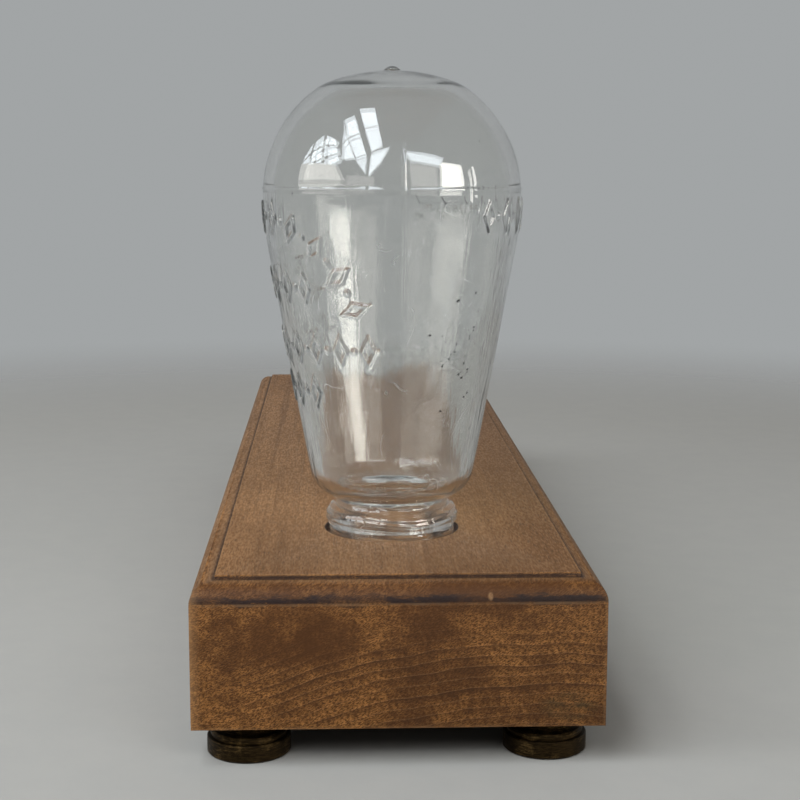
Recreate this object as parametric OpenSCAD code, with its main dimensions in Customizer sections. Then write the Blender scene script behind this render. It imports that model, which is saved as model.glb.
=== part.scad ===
// A clear glass bottle that stands mouth down in the socket of a long wooden base on four
// turned feet.  The origin is on the table, under the middle of the base.  The base runs
// along Y, and the bottle stands near its front end, at -Y.

/* [Base] */
// Width of the wooden base
base_width = 127; // [90:1:200]
// Length of the wooden base
base_length = 460; // [200:5:700]
// Thickness of the wooden base
base_thickness = 46.7; // [36:0.1:80]
// Radius of the rounded upper edge
edge_radius = 6; // [2:0.5:9]
// Height of the small step above the rounded edge
step_height = 1.4; // [0.4:0.1:3]
// Width of the flat ledge at the foot of the step
step_ledge = 1.4; // [0.4:0.1:3]

/* [Socket] */
// Depth of the round socket in the base
socket_depth = 8; // [5:0.5:12]
// Distance from the front end of the base to the socket's middle
socket_from_front = 70; // [45:1:120]
// Gap all round between the socket and the widest part of the bottle's lip
lip_clearance = 0.1; // [0.1:0.1:2]

/* [Bottle body] */
// Greatest diameter of the bottle
body_diameter = 86.1; // [70:0.1:110]
// Height of the widest level above the mouth's end
widest_height = 121.1; // [90:0.1:170]
// Radius of the curve that turns the tapered side upright
side_curve = 100; // [50:5:200]
// Diameter across the round shoulder above the neck
shoulder_diameter = 55.8; // [50:0.1:68]
// Radius of the round shoulder
shoulder_radius = 10; // [8:0.1:12]
// Height of the shoulder's lowest level above the mouth's end
shoulder_height = 19.8; // [18:0.1:28]
// Radius of the flattened crown at the closed end
crown_radius = 60; // [50:1:100]
// How far the flattened crown lies below a full round
crown_drop = 2.1; // [1.5:0.1:3.5]
// Radius that blends the round dome into the crown
crown_blend = 15; // [8:1:25]
// Diameter of the small glass nub on the crown
nub_diameter = 5.8; // [3:0.1:9]
// Height of the nub above the crown
nub_height = 1.4; // [0.5:0.1:2.5]

/* [Bottle lip] */
// Greatest diameter of the bead round the lip
bead_diameter = 45.4; // [38:0.1:56]
// Radius of the bead's section
bead_radius = 4.5; // [3:0.1:6]
// Height of the bead's middle above the mouth's end
bead_height = 12.8; // [10:0.1:15]
// How far the bead stands out from the plain ring below it
bead_overhang = 1.9; // [0.5:0.1:3]
// Extra radius of the hollow round the neck, over the least that joins bead and shoulder
neck_ease = 0.65; // [0.2:0.05:1.5]

/* [Glass wall] */
// Thickness of the body's wall
side_wall = 3.6; // [2.5:0.1:5]
// Thickness of the glass at the crown
crown_wall = 4.6; // [3:0.1:7]
// Diameter of the bore through the neck
bore_diameter = 29; // [18:0.1:35]
// Rounding where the bore opens into the body
bore_round = 3; // [1:0.5:4]
// Rounding of the mouth's edges
mouth_round = 1.2; // [0.4:0.1:2]

/* [Feet] */
// Height of each foot
foot_height = 12.4; // [10:0.1:24]
// Diameter of the foot's lower disc
foot_diameter = 26.3; // [21.5:0.1:36]
// Height of the foot's lower disc
foot_disc = 5.6; // [4.8:0.1:6.5]
// Gap from the foot's rim to the sides of the base
foot_inset = 3.6; // [1:0.1:12]
// How far the ring above the disc lies inside the disc's rim
foot_ring_setback = 1.1; // [0.3:0.1:2]
// Height of the ring above the disc
foot_ring = 1.6; // [1:0.1:2.5]
// Width and depth of the turned groove between disc and ring
foot_groove = 0.5; // [0.3:0.1:1]
// Diameter of the foot's waist under the base
foot_waist_diameter = 17; // [15:0.5:19]
// Radius of the cove between ring and waist
foot_cove = 2.6; // [0.5:0.1:3.5]
// Bevel on the foot's turned edges
foot_bevel = 0.6; // [0.2:0.1:1]

/* [Foot screws] */
// Diameter of the screw's shank
screw_diameter = 4; // [3:0.1:5.5]
// Diameter of the screw's head
screw_head_diameter = 8; // [6.5:0.1:9]
// Height of the screw's head
screw_head_height = 2.4; // [1.8:0.1:2.8]
// Length of the shank inside the base
screw_bite = 16; // [8:1:24]
// Gap round the shank in the foot, and round the head in its recess
screw_clearance = 0.4; // [0.2:0.1:0.8]
// How far the head lies above the foot's underside
screw_recess = 0.8; // [0.4:0.1:1.5]

/* [Hidden] */
$fn = 96;

// Levels above the table
base_top = foot_height + base_thickness;
mouth_level = base_top - socket_depth;

// The bottle's section, with heights from the mouth's end
body_radius = body_diameter / 2;
mouth_radius = bead_diameter / 2 - bead_overhang;
bore_radius = bore_diameter / 2;
lip_fillet = 0.8;
bead_centre = [bead_diameter / 2 - bead_radius, bead_height];
dome_centre = [0, widest_height];
curve_centre = [body_radius - side_curve, widest_height];
shoulder_centre = [shoulder_diameter / 2 - shoulder_radius, shoulder_height + shoulder_radius];
crown_height = widest_height + body_radius - crown_drop;
crown_centre = [0, crown_height - crown_radius];

// The tapered side is the straight line that touches both the shoulder and the side's curve
side_taper = acos((shoulder_radius - side_curve) / norm(curve_centre - shoulder_centre))
    - bearing(shoulder_centre, curve_centre);

// The hollow round the neck touches both the bead and the shoulder
neck_gap = norm(shoulder_centre - bead_centre) - bead_radius - shoulder_radius;
neck_hollow = neck_gap / 2 + neck_ease;
neck_centre = meet(bead_centre, bead_radius + neck_hollow, shoulder_centre, shoulder_radius + neck_hollow);
lip_centre = [
    mouth_radius + lip_fillet,
    bead_height - leg(bead_radius + lip_fillet, mouth_radius + lip_fillet - bead_centre[0])
];

// The round at the bore's inner end runs into the flat floor, or past its rim into the shoulder
inner_shoulder_radius = shoulder_radius - side_wall;
past_floor = max(0, bore_radius + bore_round - shoulder_centre[0]);
bore_end_centre = [
    bore_radius + bore_round,
    shoulder_centre[1] - leg(inner_shoulder_radius + bore_round, past_floor)
];
floor_rim_centre = [bore_end_centre[0] - past_floor, shoulder_centre[1]];

// The feet's and screws' levels
foot_radius = foot_diameter / 2;
ring_radius = foot_radius - foot_ring_setback;
waist_radius = foot_waist_diameter / 2;
ring_bottom = foot_disc + foot_groove;
ring_top = ring_bottom + foot_ring;
collar_height = 1.2;
collar_width = 1.5;
head_recess = screw_recess + screw_head_height;
pilot_margin = 1;
slot_width = 1.1;
slot_depth = 1.1;

// Which end and side each foot is at: [x, y]
FRONT_LEFT = [-1, -1];
FRONT_RIGHT = [1, -1];
BACK_LEFT = [-1, 1];
BACK_RIGHT = [1, 1];
CORNERS = [FRONT_LEFT, FRONT_RIGHT, BACK_LEFT, BACK_RIGHT];

// The point at an angle and a distance from a centre
function polar(centre, distance, angle) = centre + distance * [cos(angle), sin(angle)];

// The other leg of a right triangle
function leg(hypotenuse, side) = sqrt(hypotenuse * hypotenuse - side * side);

// The direction from one point to another
function bearing(from, to) = atan2(to[1] - from[1], to[0] - from[0]);

// Points along an arc, both ends included
function arc(centre, radius, first, last, steps) =
    [for (i = [0:steps]) polar(centre, radius, first + (last - first) * i / steps)];

// The point at two given distances from two centres, to the right of the way from a to b
function meet(a, from_a, b, from_b) =
    let (
        gap = norm(b - a),
        along = (from_a * from_a - from_b * from_b + gap * gap) / (2 * gap),
        way = (b - a) / gap
    )
    a + along * way + leg(from_a, along) * [way[1], -way[0]];

// The closed end: a round dome, a blend and a flattened crown, inside the glass by a wall
function dome(wall, top_wall, crown_end) =
    let (
        round_radius = body_radius - wall,
        flat_radius = crown_radius - top_wall,
        blend = crown_blend - wall,
        blend_centre = meet(crown_centre, flat_radius - blend, dome_centre, round_radius - blend),
        blend_first = bearing(dome_centre, blend_centre),
        blend_last = bearing(crown_centre, blend_centre)
    )
    concat(
        arc(dome_centre, round_radius, 0, blend_first, 16),
        arc(blend_centre, blend, blend_first, blend_last, 4),
        arc(crown_centre, flat_radius, blend_last, crown_end, 6)
    );

// Outside of the bottle, from the mouth's end up to the nub's foot
function outer_section() =
    concat(
        arc([mouth_radius - mouth_round, mouth_round], mouth_round, -90, 0, 4),
        arc(lip_centre, lip_fillet, 180, bearing(lip_centre, bead_centre), 3),
        arc(bead_centre, bead_radius, bearing(bead_centre, lip_centre),
            bearing(bead_centre, neck_centre), 14),
        arc(neck_centre, neck_hollow, bearing(neck_centre, bead_centre) + 360,
            bearing(neck_centre, shoulder_centre), 8),
        arc(shoulder_centre, shoulder_radius, bearing(shoulder_centre, neck_centre), -side_taper, 10),
        arc(curve_centre, side_curve, -side_taper, 0, 6),
        dome(0, 0, bearing(crown_centre, [nub_diameter / 2, crown_height]))
    );

// Inside of the bottle, from the mouth's end up to the crown
function inner_section() =
    concat(
        arc([bore_radius + mouth_round, mouth_round], mouth_round, 270, 180, 4),
        arc(bore_end_centre, bore_round, 180, bearing(bore_end_centre, floor_rim_centre), 5),
        arc(shoulder_centre, inner_shoulder_radius, bearing(floor_rim_centre, bore_end_centre),
            -side_taper, 8),
        arc(curve_centre, side_curve - side_wall, -side_taper, 0, 6),
        dome(side_wall, crown_wall, 90)
    );

function reversed(points) = [for (i = [len(points) - 1:-1:0]) points[i]];

// The round nub left on the crown, as a low cap
module nub() {
    half = nub_diameter / 2;
    cap_radius = (half * half + nub_height * nub_height) / (2 * nub_height);
    translate([0, 0, crown_height + nub_height - cap_radius])
        rotate_extrude()
            polygon(concat([[0, 0]], arc([0, 0], cap_radius, 90 - 1.4 * asin(half / cap_radius), 90, 8)));
}

module bottle() {
    color("LightCyan", 0.4)
        translate([0, socket_from_front - base_length / 2, mouth_level])
            difference() {
                union() {
                    rotate_extrude()
                        polygon(concat([[0, 0]], outer_section(), [[0, crown_height]]));
                    nub();
                }
                rotate_extrude()
                    polygon(concat([[0, -1], [bore_radius + mouth_round, -1]], inner_section()));
            }
}

// Half of the base's upper edge in section: a rounded edge, a ledge and a step
function edge_section(half) =
    concat(
        [[half, 0]],
        arc([half - edge_radius, base_thickness - step_height - edge_radius], edge_radius, 0, 90, 8),
        [[half - edge_radius - step_ledge, base_thickness - step_height],
         [half - edge_radius - step_ledge, base_thickness]]
    );

// A bar with that section on both sides, running along Y
module moulded_bar(width, length) {
    right = edge_section(width / 2);
    left = [for (p = reversed(right)) [-p[0], p[1]]];
    rotate([90, 0, 0])
        linear_extrude(length, center = true)
            polygon(concat(right, left));
}

// The block is where two such bars cross, so the moulding meets at mitres on the corners
module moulded_block() {
    intersection() {
        moulded_bar(base_width, base_length);
        rotate([0, 0, 90])
            moulded_bar(base_length, base_width);
    }
}

function foot_place(corner) = [
    corner[0] * (base_width / 2 - foot_inset - foot_radius),
    corner[1] * (base_length / 2 - foot_inset - foot_radius),
    0
];

module base() {
    color("Sienna")
        difference() {
            translate([0, 0, foot_height])
                moulded_block();
            translate([0, socket_from_front - base_length / 2, mouth_level])
                cylinder(h = socket_depth + 1, r = bead_diameter / 2 + lip_clearance);
            for (corner = CORNERS)
                translate(foot_place(corner) + [0, 0, foot_height - 1])
                    cylinder(h = screw_bite + pilot_margin + 1, d = screw_diameter);
        }
}

// Section of a turned foot: recess for the screw's head, disc, groove, ring, waist and collar
function foot_section() =
    let (
        hole = screw_diameter / 2 + screw_clearance,
        recess = screw_head_diameter / 2 + screw_clearance,
        groove_floor = ring_radius - foot_groove,
        collar_bottom = foot_height - collar_height,
        cove = min(foot_cove, collar_bottom - ring_top, ring_radius - foot_bevel - waist_radius)
    )
    concat(
        [[recess, 0], [foot_radius - foot_bevel, 0], [foot_radius, foot_bevel],
         [foot_radius, foot_disc - foot_bevel / 2], [foot_radius - foot_bevel / 2, foot_disc],
         [groove_floor, foot_disc], [groove_floor, ring_bottom],
         [ring_radius, ring_bottom], [ring_radius, ring_top - foot_bevel],
         [ring_radius - foot_bevel, ring_top]],
        arc([waist_radius + cove, ring_top + cove], cove, -90, -180, 6),
        [[waist_radius, collar_bottom], [waist_radius + collar_width, collar_bottom],
         [waist_radius + collar_width, foot_height],
         [hole, foot_height], [hole, head_recess], [recess, head_recess]]
    );

module foot(corner) {
    color("DarkGoldenrod")
        translate(foot_place(corner))
            rotate_extrude()
                polygon(foot_section());
}

// A slotted wood screw, driven up through the foot's middle into the base
module screw(corner) {
    shank_length = foot_height - head_recess + screw_bite;
    tip_length = screw_diameter;
    color("Goldenrod")
        translate(foot_place(corner) + [0, 0, screw_recess])
            difference() {
                union() {
                    cylinder(h = screw_head_height, d = screw_head_diameter);
                    cylinder(h = screw_head_height + shank_length - tip_length, d = screw_diameter);
                    translate([0, 0, screw_head_height + shank_length - tip_length])
                        cylinder(h = tip_length, r1 = screw_diameter / 2, r2 = 0);
                }
                translate([-screw_head_diameter / 2 - 1, -slot_width / 2, -1])
                    cube([screw_head_diameter + 2, slot_width, slot_depth + 1]);
            }
}

bottle();
base();
foot(FRONT_LEFT);  // foot_front_left
foot(FRONT_RIGHT);  // foot_front_right
foot(BACK_LEFT);  // foot_back_left
foot(BACK_RIGHT);  // foot_back_right
screw(FRONT_LEFT);  // screw_front_left
screw(FRONT_RIGHT);  // screw_front_right
screw(BACK_LEFT);  // screw_back_left
screw(BACK_RIGHT);  // screw_back_right
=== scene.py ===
"""A clear glass bottle that stands mouth down in the socket of a long wooden base on turned feet.

Laid out as an add-on: the sizes and colours are properties, each piece is made by one operator,
and the sidebar panel lists them all.  Lengths are in metres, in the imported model's frame.
"""

import math

import bmesh
import bpy
from mathutils import Matrix, Vector


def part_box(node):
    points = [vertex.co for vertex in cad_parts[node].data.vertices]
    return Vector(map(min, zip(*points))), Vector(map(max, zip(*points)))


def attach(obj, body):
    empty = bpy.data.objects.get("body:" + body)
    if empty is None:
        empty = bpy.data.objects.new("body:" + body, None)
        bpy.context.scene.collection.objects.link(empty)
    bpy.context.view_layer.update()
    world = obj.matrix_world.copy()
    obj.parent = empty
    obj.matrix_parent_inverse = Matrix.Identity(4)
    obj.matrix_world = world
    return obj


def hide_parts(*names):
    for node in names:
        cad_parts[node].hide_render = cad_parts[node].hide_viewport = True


bl_info = {
    "name": "Bottle on a Wooden Base",
    "version": (1, 0, 0),
    "blender": (4, 5, 0),
    "location": "3D View > Sidebar > Bottle",
    "description": "Makes a glass bottle, its moulded wooden base and turned feet, and a plain stage",
    "category": "Object",
}

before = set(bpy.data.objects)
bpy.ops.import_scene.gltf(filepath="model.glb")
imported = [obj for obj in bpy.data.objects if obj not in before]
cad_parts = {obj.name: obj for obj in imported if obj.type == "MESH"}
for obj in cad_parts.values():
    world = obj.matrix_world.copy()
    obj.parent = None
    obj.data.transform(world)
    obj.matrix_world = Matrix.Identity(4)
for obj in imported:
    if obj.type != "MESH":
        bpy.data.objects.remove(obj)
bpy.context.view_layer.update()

MM = 0.001
CORNERS = ("front_left", "front_right", "back_left", "back_right")
BOTTLE_LOW, BOTTLE_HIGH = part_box("bottle")
BASE_LOW, BASE_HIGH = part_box("base")
AXIS_X = (BOTTLE_LOW.x + BOTTLE_HIGH.x) / 2
AXIS_Y = (BOTTLE_LOW.y + BOTTLE_HIGH.y) / 2
MOUTH_LEVEL = BOTTLE_LOW.z

# Dullness of the bore and the inner floor, where the rest of the inner surface has 1
BORE_DULLNESS = 2.0

# Lean of the wood's fibres, in radians, as they show on the ends
GRAIN_LEAN = 0.45

# The raised ornament: half sizes of a lozenge and its ridge, a bead's radius, the marks' spacing
# and a reach that no mark passes
LOZENGE_WIDTH, LOZENGE_LENGTH, LOZENGE_RIDGE = 2.1 * MM, 4.2 * MM, 0.75 * MM
BEAD_SIZE, MARK_PITCH, MARK_REACH = 1.3 * MM, 5.9 * MM, 7 * MM

# Half width and half length of the finer faces laid under a lozenge and under a bead
MARK_ROOM = ((3 * MM, 5.5 * MM), (2 * MM, 2 * MM))

# The arched row, and the radius of the bottle behind it
ARCH_MARKS, ARCH_MIDDLE = 19, math.radians(-75)
ARCH_RADIUS, ARCH_TOP, ARCH_BODY_RADIUS = 43 * MM, 114.8 * MM, 42 * MM

# The level rows, in degrees from the front and in millimetres: middle, height, number of marks and
# the bottle's radius there; their marks stand closer by the share below
LEVEL_ROWS = ((-75, 92.5, 9, 41.5), (-75, 72.5, 17, 38), (-75, 58, 7, 35), (105, 115.2, 19, 43))
LEVEL_SHARE = 0.86

# Faces round the base's cuts, and how far a cutter stands out of the wood
EDGE_STEPS, SOCKET_STEPS, HOLE_STEPS = 12, 128, 32
CUTTER_OVERRUN = 5 * MM

# Edges sharper than the first angle are softened, and faces that meet under the second look round
SOFTEN_OVER, SMOOTH_UNDER = math.radians(40), math.radians(35)

# The stage: bounces enough for thick glass, the floor's side, and the windows' middle over the mouth
LIGHT_BOUNCES, FLOOR_SIDE, WINDOW_CENTRE = 48, 12, 121 * MM


# Sizes and colours


def length(name, description, millimetres):
    return bpy.props.FloatProperty(name=name, description=description, default=millimetres * MM,
                                   unit="LENGTH", precision=5)


def angle(name, description, radians):
    return bpy.props.FloatProperty(name=name, description=description, default=radians, subtype="ANGLE")


def number(name, description, default):
    return bpy.props.FloatProperty(name=name, description=description, default=default)


def colour(name, description, default):
    return bpy.props.FloatVectorProperty(name=name, description=description, default=default,
                                         size=3, subtype="COLOR", min=0, max=1)


class BottleSizes(bpy.types.PropertyGroup):
    body_diameter: length("Body diameter", "Greatest diameter of the bottle",
                          (BOTTLE_HIGH.x - BOTTLE_LOW.x) / MM)
    widest_height: length("Widest height", "Height of the widest level above the mouth's end", 121.1)
    side_curve: length("Side curve", "Radius that turns the tapered side upright", 100)
    shoulder_diameter: length("Shoulder diameter", "Diameter across the round shoulder", 55.8)
    shoulder_radius: length("Shoulder radius", "Radius of the round shoulder", 10)
    shoulder_height: length("Shoulder height", "Height of the shoulder's lowest level", 19.8)
    crown_radius: length("Crown radius", "Radius of the flattened crown", 60)
    crown_drop: length("Crown drop", "How far the crown lies below a full round", 2.1)
    crown_blend: length("Crown blend", "Radius between round dome and crown", 15)
    nub_diameter: length("Nub diameter", "Diameter of the small glass nub", 5.8)
    nub_height: length("Nub height", "Height of the nub above the crown", 1.4)
    bubble_diameter: length("Bubble diameter", "Diameter of the air bubble under the nub", 4.4)
    bubble_height: length("Bubble height", "Height of the air bubble under the nub", 1.7)
    bead_diameter: length("Bead diameter", "Greatest diameter of the lip's bead", 45.4)
    bead_radius: length("Bead radius", "Radius of the bead's section", 4.5)
    bead_height: length("Bead height", "Height of the bead's middle", 12.8)
    bead_overhang: length("Bead overhang", "How far the bead stands out from the ring below", 1.2)
    neck_ease: length("Neck ease", "Extra radius of the hollow round the neck", 0.65)
    lip_fillet: length("Lip fillet", "Fillet between plain ring and bead", 0.8)
    side_wall: length("Side wall", "Thickness of the body's wall", 3.6)
    crown_wall: length("Crown wall", "Thickness of the glass at the crown", 3.6)
    bore_diameter: length("Bore diameter", "Diameter of the bore through the neck", 29)
    bore_round: length("Bore round", "Rounding where the bore opens out", 3)
    mouth_round: length("Mouth round", "Rounding of the mouth's edges", 1.2)
    row_spacing: length("Row spacing", "Distance between the rows of the outer surface", 1.4)
    inner_spacing: length("Inner spacing", "Distance between the rows of the inner surface", 2.4)
    turn_steps: bpy.props.IntProperty(name="Turn steps", description="Faces round the bottle", default=192)
    seam_height: length("Seam height", "Height of the mould's level seam", 123.6)
    seam_angle: angle("Seam angle", "Where the mould's upright seam is, from the front",
                      math.radians(3.6))
    seam_width: length("Seam width", "Width of a mould seam", 1.1)
    seam_rise: length("Seam rise", "How far the upright seam stands out", 0.16)
    level_rise: length("Level seam rise", "How far the level seam stands out", 0.3)
    relief_rise: length("Relief rise", "How far the raised ornament stands out", 0.55)
    outer_ripple: length("Outer ripple", "Depth of the outer surface's slow ripples", 0.1)
    inner_ripple: length("Inner ripple", "Depth of the inner surface's slow ripples", 0.5)
    lip_ridge: length("Lip ridge", "Depth of the tooling rings round the lip", 0.2)
    ridge_spacing: length("Ridge spacing", "Distance between the lip's tooling rings", 2.0)


class GlassFinish(bpy.types.PropertyGroup):
    tint: colour("Tint", "Colour of the clear glass", (0.865, 0.865, 0.848))
    speck: colour("Speck", "Colour of the dark specks", (0.03, 0.03, 0.03))
    shadow: colour("Shadow", "Colour of the light that passes through to other pieces", (0.9, 0.92, 0.91))


class WoodFinish(bpy.types.PropertyGroup):
    long_light: colour("Long grain", "Colour of the pale wood on the top and sides", (0.238, 0.122, 0.053))
    long_dark: colour("Long grain, dark", "Colour of the dense wood on its top and sides",
                      (0.106, 0.049, 0.018))
    # The ends' pale colour is partly end grain and partly painted light, raised to brighten the dimly lit
    # front
    end_grain_and_painted_light: colour("End grain", "Colour of the pale wood on the ends", (0.355, 0.152, 0.04))
    end_dark: colour("End grain, dark", "Colour of the dense wood on the ends", (0.06, 0.0205, 0.0042))
    # This colour is also painted as shade in the socket, under the base and, with grime, at the step's foot
    stain_and_shade: colour("Stain", "Colour of old dark stains and grime", (0.013, 0.0065, 0.0055))
    smudge: colour("Smudge", "Colour of a dull smudge low on the front", (0.03, 0.028, 0.012))
    worn: colour("Worn edge", "Colour of rubbed edges", (0.35, 0.19, 0.085))
    ring_spacing: length("Ring spacing", "Distance between the year rings", 3.1)
    heart_across: length("Heart across", "How far right of the middle the rings' centre lies", 45)
    heart_below: length("Heart below", "How far below the floor the rings' centre lies", 190)
    edge_radius: length("Edge radius", "Radius of the rounded upper edge", 6)
    step_height: length("Step height", "Height of the step above the rounded edge", 1.4)
    step_ledge: length("Step ledge", "Width of the ledge at the foot of the step", 1.4)
    arris: length("Arris", "Softening of the sharp edges", 0.3)
    socket_diameter: length("Socket diameter", "Diameter of the round socket", 45.6)
    screw_hole: length("Screw hole", "Diameter of the screw holes", 4)


class BrassFinish(bpy.types.PropertyGroup):
    metal: colour("Metal", "Colour of the rubbed brass", (0.15, 0.094, 0.036))
    patina: colour("Patina", "Colour of the dark patina", (0.011, 0.007, 0.0035))
    screw_metal: colour("Screw metal", "Colour of the screws", (0.5, 0.36, 0.16))


class StageSettings(bpy.types.PropertyGroup):
    floor: colour("Floor", "Colour of the floor", (0.325, 0.309, 0.285))
    floor_speck: colour("Floor speck", "Colour of the floor's soft specks", (0.25, 0.25, 0.24))
    backdrop: colour("Backdrop", "Colour behind the object", (0.36, 0.375, 0.38))
    fill: number("Fill", "Strength of the soft light straight above", 0.1)
    fill_colour: colour("Fill colour", "Colour of the soft light", (0.97, 0.99, 1.0))
    fade_start: length("Fade start", "How far out the floor starts to fade", 420)
    fade_end: length("Fade end", "How far out the floor has faded", 950)
    window_distance: length("Window distance", "How far the windows are from the bottle", 1600)
    camera_place: bpy.props.FloatVectorProperty(
        name="Camera place", description="Where the camera stands", size=3, unit="LENGTH",
        default=(-18.54 * MM, -692.2 * MM, 185.65 * MM))
    camera_yaw: angle("Camera yaw", "Turn to the right", 0.0401)
    camera_pitch: angle("Camera pitch", "Tilt downwards", 0.1538)
    camera_roll: angle("Camera roll", "Turn about the line of sight", 0.0020)
    focal_length: number("Focal length", "Focal length in millimetres on a 36 mm sensor", 71.226)


# Plane geometry of the bottle's section, with heights from the mouth's end


def polar(centre, distance, turn):
    return centre + distance * Vector((math.cos(turn), math.sin(turn)))


def leg(hypotenuse, side):
    return math.sqrt(hypotenuse * hypotenuse - side * side)


def bearing(start, end):
    return math.atan2(end.y - start.y, end.x - start.x)


def meet(a, from_a, b, from_b):
    """The point at two given distances from two centres, to the right of the way from a to b."""
    gap = (b - a).length
    along = (from_a * from_a - from_b * from_b + gap * gap) / (2 * gap)
    way = (b - a) / gap
    return a + along * way + leg(from_a, along) * Vector((way.y, -way.x))


# Modelling helpers


def clear_selection():
    if bpy.context.mode != "OBJECT":
        bpy.ops.object.mode_set(mode="OBJECT")
    bpy.ops.object.select_all(action="DESELECT")


def make_active(piece):
    clear_selection()
    piece.select_set(True)
    bpy.context.view_layer.objects.active = piece


def edit(piece):
    make_active(piece)
    bpy.ops.object.mode_set(mode="EDIT")


def leave_edit():
    bpy.ops.object.mode_set(mode="OBJECT")


def edit_new(name):
    """Names the primitive that was added last, and opens it for editing with all of it selected."""
    piece = bpy.context.active_object
    piece.name = name
    piece.data.name = name
    edit(piece)
    bpy.ops.mesh.select_all(action="SELECT")
    return piece


def select_where(piece, kind, test):
    """In edit mode, selects only the vertices, edges or faces that pass the test."""
    bpy.ops.mesh.select_all(action="DESELECT")
    bpy.ops.mesh.select_mode(type=kind)
    mesh = bmesh.from_edit_mesh(piece.data)
    parts = {"VERT": mesh.verts, "EDGE": mesh.edges, "FACE": mesh.faces}[kind]
    for part in parts:
        if test(part):
            part.select_set(True)
    mesh.select_flush_mode()
    bmesh.update_edit_mesh(piece.data)


def apply_modifier(piece, kind, **settings):
    modifier = piece.modifiers.new(kind.title(), kind)
    for key, value in settings.items():
        setattr(modifier, key, value)
    make_active(piece)
    bpy.ops.object.modifier_apply(modifier=modifier.name)


def set_weights(piece, name, weight_of):
    """A vertex group with a weight for each vertex, from its place."""
    group = piece.vertex_groups.new(name=name)
    for vertex in piece.data.vertices:
        weight = weight_of(vertex)
        if weight > 0:
            group.add([vertex.index], weight, "REPLACE")


def finish_piece(piece, body, material, node):
    piece.data.materials.clear()
    piece.data.materials.append(material)
    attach(piece, body)
    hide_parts(node)


class Section:
    """Draws half of a turned section with one travelling vertex, in a plane through the axis."""

    def __init__(self, name, start):
        clear_selection()
        bpy.ops.mesh.primitive_plane_add(size=MM, location=(0, 0, 0))
        self.piece = edit_new(name)
        bpy.ops.mesh.select_mode(type="VERT")
        bpy.ops.mesh.merge(type="CENTER")
        bpy.ops.transform.translate(value=self.place(start))
        self.point = start

    @staticmethod
    def place(point):
        return Vector((AXIS_X + point.x, AXIS_Y, MOUTH_LEVEL + point.y))

    def line(self, end, spacing):
        steps = max(1, round((end - self.point).length / spacing))
        stride = (end - self.point) / steps
        for _ in range(steps):
            bpy.ops.mesh.extrude_vertices_move(
                TRANSFORM_OT_translate={"value": (stride.x, 0, stride.y)})
        self.point = end

    def arc(self, centre, first, last, spacing):
        radius = (self.point - centre).length
        steps = max(2, round(abs(last - first) * radius / spacing))
        bpy.ops.mesh.spin(steps=steps, angle=last - first, center=self.place(centre), axis=(0, 1, 0))
        self.point = polar(centre, radius, last)

    def turn(self, steps):
        """Spins the whole section round the axis into a closed skin."""
        bpy.ops.mesh.select_all(action="SELECT")
        bpy.ops.mesh.spin(steps=steps, angle=2 * math.pi, center=(AXIS_X, AXIS_Y, 0), axis=(0, 0, 1))
        bpy.ops.mesh.select_all(action="SELECT")
        bpy.ops.mesh.remove_doubles(threshold=0.002 * MM)
        bpy.ops.mesh.select_all(action="SELECT")
        bpy.ops.mesh.normals_make_consistent(inside=False)
        leave_edit()
        return self.piece


# Node helpers


class Tree:
    """A node tree whose nodes are added by short calls, most of which return an output."""

    def __init__(self, tree):
        self.tree = tree
        tree.nodes.clear()

    def add(self, kind, inputs=None, **settings):
        node = self.tree.nodes.new(kind)
        for key, value in settings.items():
            setattr(node, key, value)
        for key, value in (inputs or {}).items():
            self.feed(node.inputs[key], value)
        return node

    def feed(self, socket, value):
        if isinstance(value, bpy.types.NodeSocket):
            self.tree.links.new(value, socket)
        elif hasattr(value, "__len__") and socket.type == "RGBA" and len(value) == 3:
            socket.default_value = (*value, 1)
        else:
            socket.default_value = value

    def math(self, operation, a, b=0.0, c=0.0):
        return self.add("ShaderNodeMath", {0: a, 1: b, 2: c}, operation=operation).outputs[0]

    def times(self, product, *others):
        for other in others:
            product = self.math("MULTIPLY", product, other)
        return product

    def fit(self, value, scale, shift):
        """A value times a scale, plus a shift."""
        return self.math("MULTIPLY_ADD", value, scale, shift)

    def minus(self, a, b):
        return self.math("SUBTRACT", a, b)

    def squares(self, a, b):
        """The sum of two values' squares."""
        return self.math("ADD", self.times(a, a), self.times(b, b))

    def split(self, vector):
        return self.add("ShaderNodeSeparateXYZ", {0: vector}).outputs

    def mix_shaders(self, factor, a, b):
        return self.add("ShaderNodeMixShader", {0: factor, 1: a, 2: b}).outputs[0]


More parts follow.
